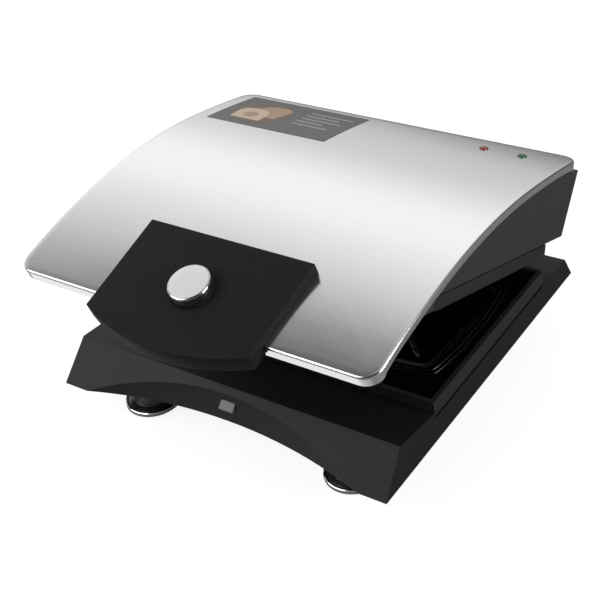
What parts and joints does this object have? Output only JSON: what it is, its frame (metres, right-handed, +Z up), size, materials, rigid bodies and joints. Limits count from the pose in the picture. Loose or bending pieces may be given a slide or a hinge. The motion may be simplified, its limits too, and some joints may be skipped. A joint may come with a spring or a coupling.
{
  "type": "sandwich_maker",
  "caption": "Hinged breakfast sandwich maker with domed steel lid, two bread pockets, black handle and press latch",
  "frame": {"origin": "on the floor under the middle of the overall box, lid open as pictured", "axes": "X across the width, Y from the handle towards the hinge, Z up"},
  "size_m": [0.2774, 0.2871, 0.1461],
  "materials": {
    "black_housing": "moulded black plastic",
    "dark_plastic": "matt black plastic",
    "foot_plastic": "polished black plastic",
    "bright_trim": "bright plated trim",
    "foot_rubber": "soft black rubber",
    "zinc_steel": "zinc plated steel",
    "plate_rim": "matt dark grey coating on metal",
    "nonstick": "glossy black non-stick coating on cast aluminium",
    "heater_sheath": "dull steel sheath",
    "aluminised_sheet": "aluminised sheet",
    "catch_grey": "light grey plastic",
    "ceramic": "white ceramic-like body",
    "wire_sleeve": "heat-proof wire sleeve",
    "satin_steel": "satin stainless steel",
    "lid_housing": "moulded black plastic",
    "red_lens": "red tinted lens",
    "green_lens": "green tinted lens",
    "lamp_glass": "small neon lamp",
    "label_film": "printed film",
    "handle_black": "fine matt black plastic"
  },
  "bodies": {
    "base": {"base_housing": "black_housing", "bottom_cover": "dark_plastic", "feet": "foot_plastic", "foot_rings": "bright_trim", "foot_pads": "foot_rubber", "base_screws": "zinc_steel", "lower_plate_frame": "plate_rim", "lower_plate": "nonstick", "lower_plate_screws": "zinc_steel", "lower_heating_element": "heater_sheath", "lower_heat_reflector": "aluminised_sheet", "catch_strike": "catch_grey", "hinge_pins": "zinc_steel", "terminal_block": "ceramic", "thermal_fuse": "heater_sheath", "base_wiring": "wire_sleeve", "cord_gland": "dark_plastic"},
    "lid": {"lid_cover": "satin_steel", "lid_housing": "lid_housing", "upper_plate_frame": "plate_rim", "upper_plate": "nonstick", "upper_plate_screws": "zinc_steel", "upper_heating_element": "heater_sheath", "upper_heat_reflector": "aluminised_sheet", "thermostat": "ceramic", "lid_wiring": "wire_sleeve", "red_lens": "red_lens", "green_lens": "green_lens", "indicator_lamps": "lamp_glass", "lamp_bracket": "dark_plastic", "printed_label": "label_film", "lid_screws": "zinc_steel", "handle_top": "handle_black", "handle_underside": "handle_black", "handle_screws": "zinc_steel", "latch_bracket": "aluminised_sheet", "bracket_screws": "zinc_steel", "button_spring": "zinc_steel"},
    "button": {"button_cap": "bright_trim", "button_body": "handle_black"},
    "latch": {"latch_slider": "zinc_steel"}
  },
  "joints": [
    {"name": "lid_hinge", "type": "hinge", "parent": "base", "child": "lid", "pos_m": [0, 0.1233, 0.048], "axis": [-1, 0, 0], "range_deg": [-20.8, 74.2]},
    {"name": "button_press", "type": "slide", "parent": "lid", "child": "button", "axis": [0, 0.2504, -0.9681], "range_m": [0, 0.0026], "stiffness_N_per_m": 1500, "springref_m": -0.0015, "deforming": ["button_spring"]},
    {"name": "latch_slide", "type": "slide", "parent": "lid", "child": "latch", "axis": [0, -0.9681, -0.2504], "range_m": [0, 0.00338]}
  ],
  "couplings": [
    {"joint": "latch_slide", "follows": "button_press", "ratio": 1.3}
  ]
}
